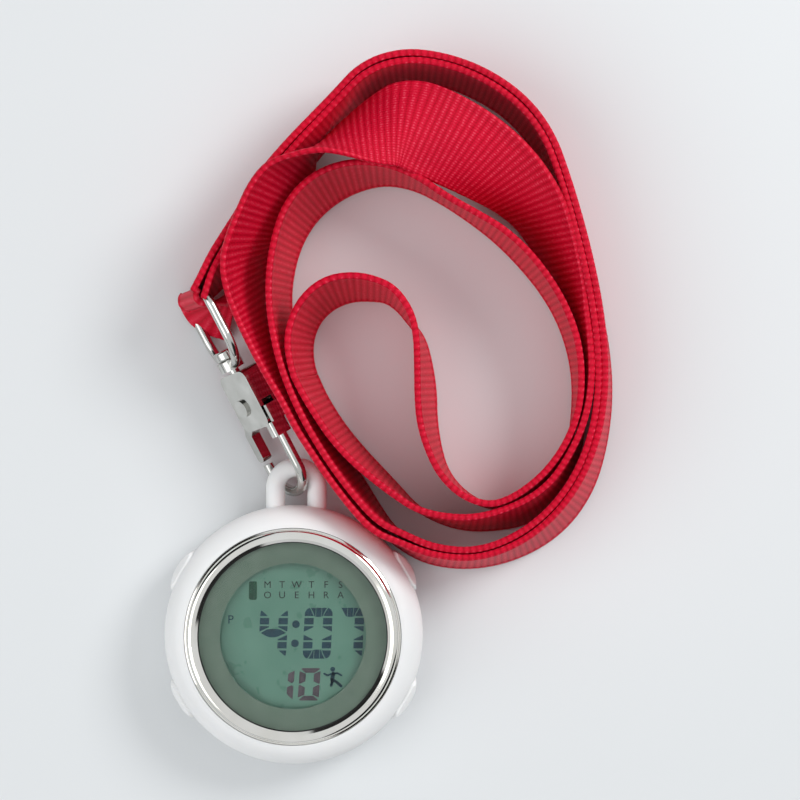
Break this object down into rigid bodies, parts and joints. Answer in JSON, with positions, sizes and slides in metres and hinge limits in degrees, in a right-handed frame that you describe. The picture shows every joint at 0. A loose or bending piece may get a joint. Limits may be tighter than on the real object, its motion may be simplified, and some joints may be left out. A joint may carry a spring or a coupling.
{
  "type": "digital fob watch",
  "caption": "Round digital fob watch in a soft white jacket, hanging by its bail from a swivel trigger clip on a wide woven neck strap that lies in loose turns.",
  "frame": {"origin": "centre of the flat back of the watch's jacket", "axes": "+Z out of the display, +Y towards 12 o'clock and the bail, +X towards 3 o'clock"},
  "size_m": [0.0796, 0.1279, 0.0174],
  "materials": {
    "white_silicone": "smooth satin silicone",
    "grey_plastic": "fine moulded",
    "black_plastic": "fine moulded",
    "white_plastic": "smooth moulded",
    "sage_plastic": "satin print",
    "steel": "fine brushed",
    "chrome": "polished plate",
    "bright_nickel": "bright nickel plate",
    "brass_plate": "bright",
    "clear_glass": "polished",
    "lcd_glass": "polished",
    "lcd_face": "satin film",
    "lcd_film": "satin film",
    "amber_film": "smooth film",
    "black_rubber": "matt",
    "grey_rubber": "striped matt",
    "board_green": "solder mask",
    "component_brown": "ceramic",
    "red_webbing": "woven tape with stitched edges"
  },
  "bodies": {
    "watch": {"back_cover": "steel", "back_gasket": "black_rubber", "back_screws": "steel", "backlight_led": "white_plastic", "battery": "steel", "battery_clip": "steel", "battery_insulator": "amber_film", "bezel": "chrome", "case_body": "grey_plastic", "circuit_board": "board_green", "crystal": "clear_glass", "crystal_gasket": "black_rubber", "dial_mask": "sage_plastic", "driver_chip": "black_plastic", "jacket": "white_silicone", "lcd_front_glass": "lcd_glass", "lcd_front_polariser": "lcd_face", "lcd_rear_glass": "lcd_glass", "lcd_reflector": "lcd_film", "light_guide": "white_plastic", "module_frame": "black_plastic", "piezo_disc": "brass_plate", "piezo_spring": "steel", "smd_parts": "component_brown", "strap_coil": "red_webbing", "strap_lead": "red_webbing", "switch_contacts": "brass_plate", "timing_crystal": "steel", "zebra_strips": "grey_rubber"},
    "button_1": {"button_pad_1": "white_silicone", "pusher_1": "steel", "pusher_clip_1": "steel", "pusher_seal_1": "black_rubber", "pusher_spring_1": "steel"},
    "button_2": {"button_pad_2": "white_silicone", "pusher_2": "steel", "pusher_clip_2": "steel", "pusher_seal_2": "black_rubber", "pusher_spring_2": "steel"},
    "button_3": {"button_pad_3": "white_silicone", "pusher_3": "steel", "pusher_clip_3": "steel", "pusher_seal_3": "black_rubber", "pusher_spring_3": "steel"},
    "button_4": {"button_pad_4": "white_silicone", "pusher_4": "steel", "pusher_clip_4": "steel", "pusher_seal_4": "black_rubber", "pusher_spring_4": "steel"},
    "clip": {"clip_frame": "bright_nickel", "trigger_rivet": "bright_nickel", "trigger_spring": "steel", "swivel_post": "bright_nickel"},
    "clip_trigger": {"trigger": "bright_nickel"},
    "clip_eye": {"eye_ring": "bright_nickel", "strap_bar_loop": "red_webbing"}
  },
  "joints": [
    {"name": "push_1", "type": "slide", "parent": "watch", "child": "button_1", "axis": [-0.866, -0.5, 0], "range_m": [0, 0.0006], "stiffness_N_per_m": 1500, "springref_m": -0.0006, "deforming": ["pusher_spring_1", "pusher_seal_1"]},
    {"name": "push_2", "type": "slide", "parent": "watch", "child": "button_2", "axis": [0.866, -0.5, 0], "range_m": [0, 0.0006], "stiffness_N_per_m": 1500, "springref_m": -0.0006, "deforming": ["pusher_spring_2", "pusher_seal_2"]},
    {"name": "push_3", "type": "slide", "parent": "watch", "child": "button_3", "axis": [0.866, 0.5, 0], "range_m": [0, 0.0006], "stiffness_N_per_m": 1500, "springref_m": -0.0006, "deforming": ["pusher_spring_3", "pusher_seal_3"]},
    {"name": "push_4", "type": "slide", "parent": "watch", "child": "button_4", "axis": [-0.866, 0.5, 0], "range_m": [0, 0.0006], "stiffness_N_per_m": 1500, "springref_m": -0.0006, "deforming": ["pusher_spring_4", "pusher_seal_4"]},
    {"name": "clip_swing", "type": "hinge", "parent": "watch", "child": "clip", "pos_m": [0.00045, 0.0257, 0.0056], "axis": [0.5352, 0.182, 0.8249], "range_deg": [0, 15], "deforming": ["strap_lead"]},
    {"name": "trigger_press", "type": "hinge", "parent": "clip", "child": "clip_trigger", "pos_m": [-0.00771, 0.04133, 0.0072], "axis": [-0.7117, -0.4288, 0.5564], "range_deg": [0, 14], "stiffness_Nm_per_rad": 0.05, "springref_deg": -5.73, "deforming": ["trigger_spring"]},
    {"name": "eye_swivel", "type": "hinge", "parent": "clip", "child": "clip_eye", "pos_m": [-0.01124, 0.04844, 0.00817], "axis": [0.4549, -0.8849, -0.1], "continuous": true, "deforming": ["strap_bar_loop"]}
  ]
}
